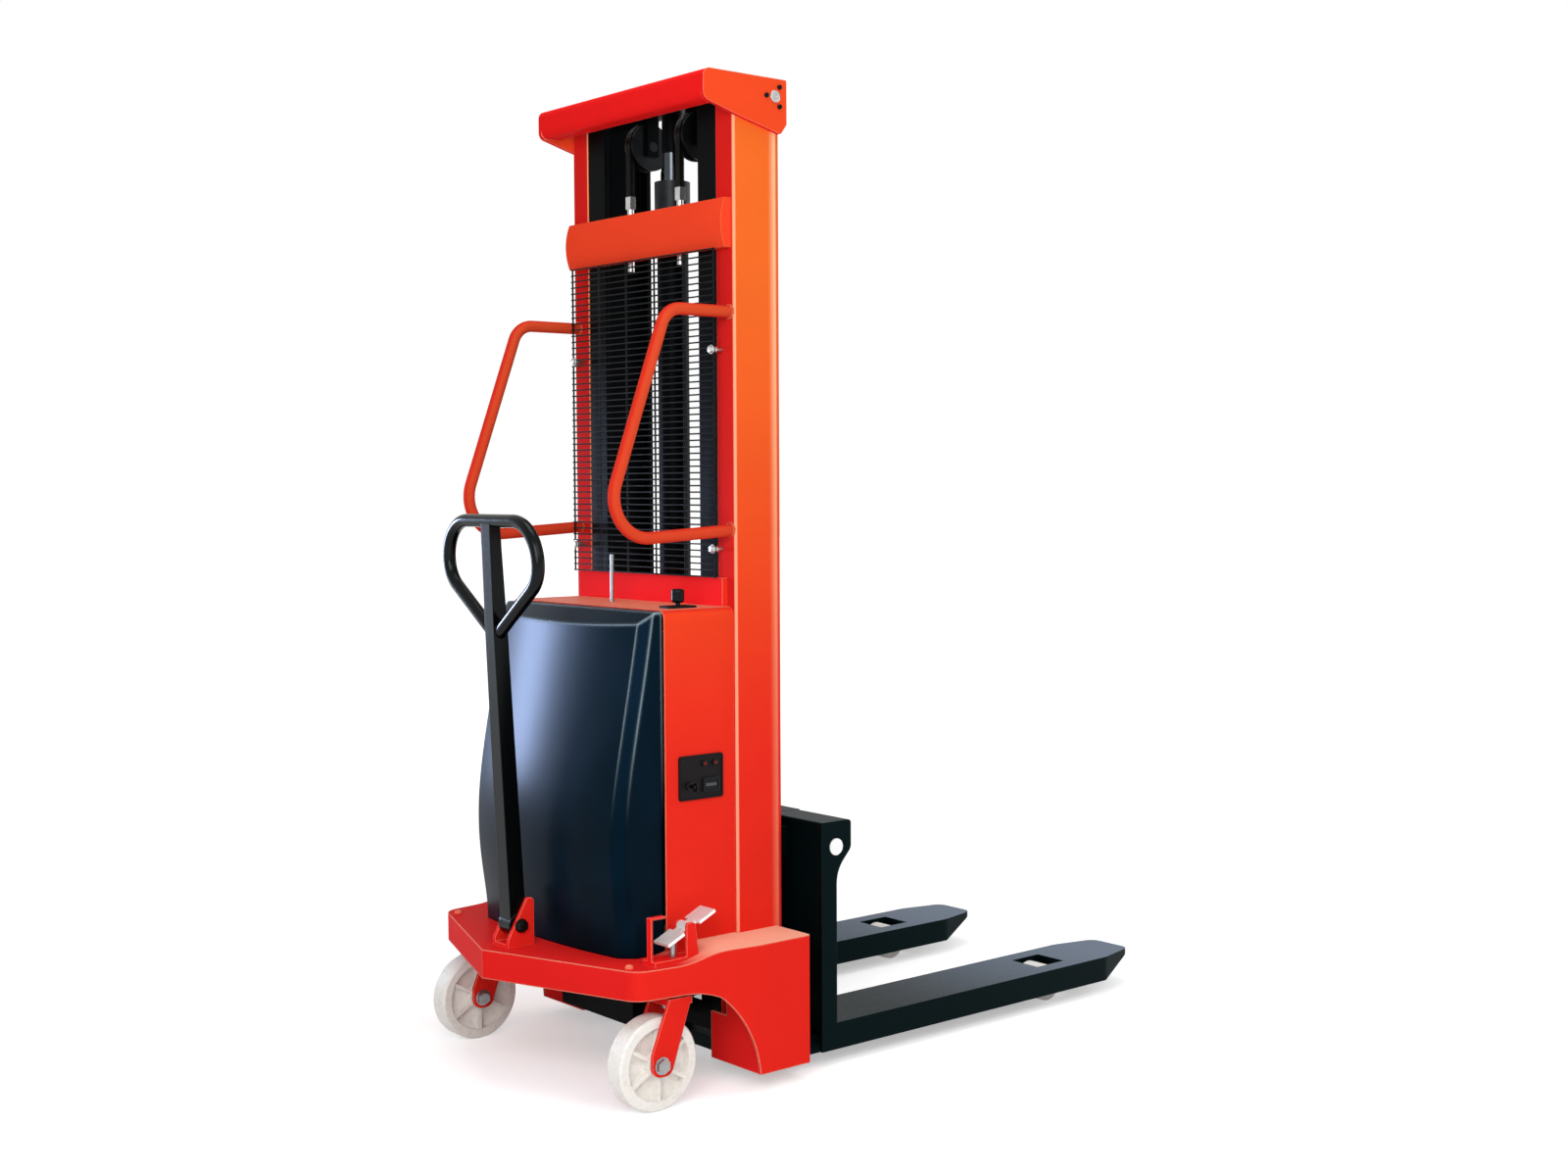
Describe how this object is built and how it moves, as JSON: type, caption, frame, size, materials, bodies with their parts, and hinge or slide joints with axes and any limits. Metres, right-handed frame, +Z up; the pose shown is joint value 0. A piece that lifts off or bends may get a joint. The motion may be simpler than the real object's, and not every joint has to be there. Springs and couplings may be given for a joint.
{
  "type": "semi-electric stacker",
  "caption": "Walk-behind pallet stacker with a red two-stage mast, hydraulic lift, black forks over support legs, swivel casters, tiller, grab handles and a covered power pack.",
  "frame": {"origin": "on the floor, under the middle of the truck's length and width", "axes": "+Z up, +Y along the forks towards their tips, +X to the truck's right"},
  "size_m": [0.77, 1.57, 1.98],
  "materials": {
    "red_paint": "gloss",
    "black_paint": "satin",
    "black_plastic": "gloss",
    "ivory_nylon": "satin",
    "steel": "satin",
    "chrome": "gloss",
    "zinc": "satin",
    "chain_steel": "satin",
    "dark_plastic": "satin",
    "lamp": "gloss"
  },
  "bodies": {
    "frame": {"base_frame": "black_paint", "chassis": "red_paint", "outer_mast_left": "red_paint", "outer_mast_right": "red_paint", "head_frame": "red_paint", "thrust_adjusters": "steel", "mid_beam": "red_paint", "lower_beam": "red_paint", "mesh_guard": "black_paint", "guard_bolts": "steel", "lift_cylinder": "black_paint", "cylinder_gland": "steel", "chain_anchors": "steel", "chain_rear_runs": "chain_steel", "power_housing": "red_paint", "rear_cover": "black_plastic", "control_panel": "dark_plastic", "battery_gauge": "dark_plastic", "indicator_lamps": "lamp", "battery_tray": "black_paint", "battery": "dark_plastic", "pump_motor": "black_paint", "hydraulic_tank": "black_paint", "valve_block": "steel", "pressure_pipe": "steel", "breather_tube": "steel", "grab_handle_left": "red_paint", "grab_handle_right": "red_paint", "tiller_bracket": "red_paint", "tiller_pin": "steel", "pedal_bracket": "red_paint", "caster_plates": "steel", "load_roller_axles": "steel"},
    "inner_mast": {"inner_mast_columns": "black_paint", "crosshead": "black_paint", "lower_tie": "black_paint", "piston_rod": "chrome", "sheave_axles": "steel", "chain_wraps": "chain_steel"},
    "carriage": {"carriage_frame": "black_paint", "fork_left": "black_paint", "fork_right": "black_paint", "fork_shaft": "steel", "chain_front_runs": "chain_steel"},
    "chain_sheaves": {"chain_sheaves": "steel"},
    "top_rollers": {"top_rollers": "steel"},
    "foot_rollers": {"foot_rollers": "steel"},
    "carriage_rollers_lower": {"carriage_rollers_lower": "steel"},
    "carriage_rollers_upper": {"carriage_rollers_upper": "steel"},
    "caster_fork_left": {"caster_fork_left": "red_paint"},
    "caster_fork_right": {"caster_fork_right": "red_paint"},
    "caster_wheel_left": {"caster_wheel_left": "ivory_nylon"},
    "caster_wheel_right": {"caster_wheel_right": "ivory_nylon"},
    "load_roller_left": {"load_roller_left": "ivory_nylon"},
    "load_roller_right": {"load_roller_right": "ivory_nylon"},
    "tiller": {"tiller": "black_paint"},
    "control_lever": {"control_lever": "black_paint"},
    "key_switch": {"key_switch": "steel"},
    "brake_pedal": {"brake_pedal": "zinc"},
    "brake_plunger": {"brake_plunger": "steel"}
  },
  "joints": [
    {"name": "mast_lift", "type": "slide", "parent": "frame", "child": "inner_mast", "axis": [0, 0, 1], "range_m": [0, 1.25], "deforming": ["chain_rear_runs"]},
    {"name": "carriage_lift", "type": "slide", "parent": "inner_mast", "child": "carriage", "axis": [0, 0, 1], "range_m": [0, 1.25], "deforming": ["chain_front_runs"]},
    {"name": "sheave_turn", "type": "hinge", "parent": "inner_mast", "child": "chain_sheaves", "pos_m": [0, -0.305, 1.89], "axis": [1, 0, 0], "range_deg": [0, 1600]},
    {"name": "top_roller_turn", "type": "hinge", "parent": "frame", "child": "top_rollers", "pos_m": [0, -0.3025, 1.848], "axis": [1, 0, 0], "range_deg": [-1450, 0]},
    {"name": "foot_roller_turn", "type": "hinge", "parent": "inner_mast", "child": "foot_rollers", "pos_m": [0, -0.3025, 0.132], "axis": [1, 0, 0], "range_deg": [0, 1400]},
    {"name": "carriage_low_roller_turn", "type": "hinge", "parent": "carriage", "child": "carriage_rollers_lower", "pos_m": [0, -0.3025, 0.154], "axis": [1, 0, 0], "range_deg": [0, 1450]},
    {"name": "carriage_high_roller_turn", "type": "hinge", "parent": "carriage", "child": "carriage_rollers_upper", "pos_m": [0, -0.3025, 0.431], "axis": [1, 0, 0], "range_deg": [-1450, 0]},
    {"name": "tiller_tilt", "type": "hinge", "parent": "frame", "child": "tiller", "pos_m": [0, -0.712, 0.316], "axis": [1, 0, 0], "range_deg": [0, 70]},
    {"name": "control_lever_tilt", "type": "hinge", "parent": "frame", "child": "control_lever", "pos_m": [0.226, -0.469, 0.914], "axis": [1, 0, 0], "range_deg": [-15, 15], "stiffness_Nm_per_rad": 0.5},
    {"name": "key_turn", "type": "hinge", "parent": "frame", "child": "key_switch", "pos_m": [0.272, -0.477, 0.596], "axis": [-1, 0, 0], "range_deg": [0, 90]},
    {"name": "brake_pedal_rock", "type": "hinge", "parent": "frame", "child": "brake_pedal", "pos_m": [0.322, -0.53, 0.338], "axis": [-1, 0, 0], "range_deg": [0, 20]},
    {"name": "brake_plunger_slide", "type": "slide", "parent": "frame", "child": "brake_plunger", "axis": [0, 0, 1], "range_m": [0, 0.0106]},
    {"name": "caster_swivel_left", "type": "hinge", "parent": "frame", "child": "caster_fork_left", "pos_m": [-0.322, -0.56, 0.2], "axis": [0, 0, 1], "continuous": true},
    {"name": "caster_wheel_turn_left", "type": "hinge", "parent": "caster_fork_left", "child": "caster_wheel_left", "pos_m": [-0.322, -0.61, 0.09], "axis": [1, 0, 0], "continuous": true},
    {"name": "load_roller_turn_left", "type": "hinge", "parent": "frame", "child": "load_roller_left", "pos_m": [-0.26, 0.53, 0.04], "axis": [1, 0, 0], "continuous": true},
    {"name": "caster_swivel_right", "type": "hinge", "parent": "frame", "child": "caster_fork_right", "pos_m": [0.322, -0.56, 0.2], "axis": [0, 0, 1], "continuous": true},
    {"name": "caster_wheel_turn_right", "type": "hinge", "parent": "caster_fork_right", "child": "caster_wheel_right", "pos_m": [0.322, -0.61, 0.09], "axis": [1, 0, 0], "continuous": true},
    {"name": "load_roller_turn_right", "type": "hinge", "parent": "frame", "child": "load_roller_right", "pos_m": [0.26, 0.53, 0.04], "axis": [1, 0, 0], "continuous": true}
  ],
  "couplings": [
    {"joint": "carriage_lift", "follows": "mast_lift", "ratio": 1},
    {"joint": "sheave_turn", "follows": "mast_lift", "rad_per_m": 22.222},
    {"joint": "top_roller_turn", "follows": "mast_lift", "rad_per_m": -20},
    {"joint": "foot_roller_turn", "follows": "mast_lift", "rad_per_m": 19.231},
    {"joint": "carriage_low_roller_turn", "follows": "mast_lift", "rad_per_m": 20},
    {"joint": "carriage_high_roller_turn", "follows": "mast_lift", "rad_per_m": -20},
    {"joint": "brake_plunger_slide", "follows": "brake_pedal_rock", "m_per_rad": 0.03}
  ]
}
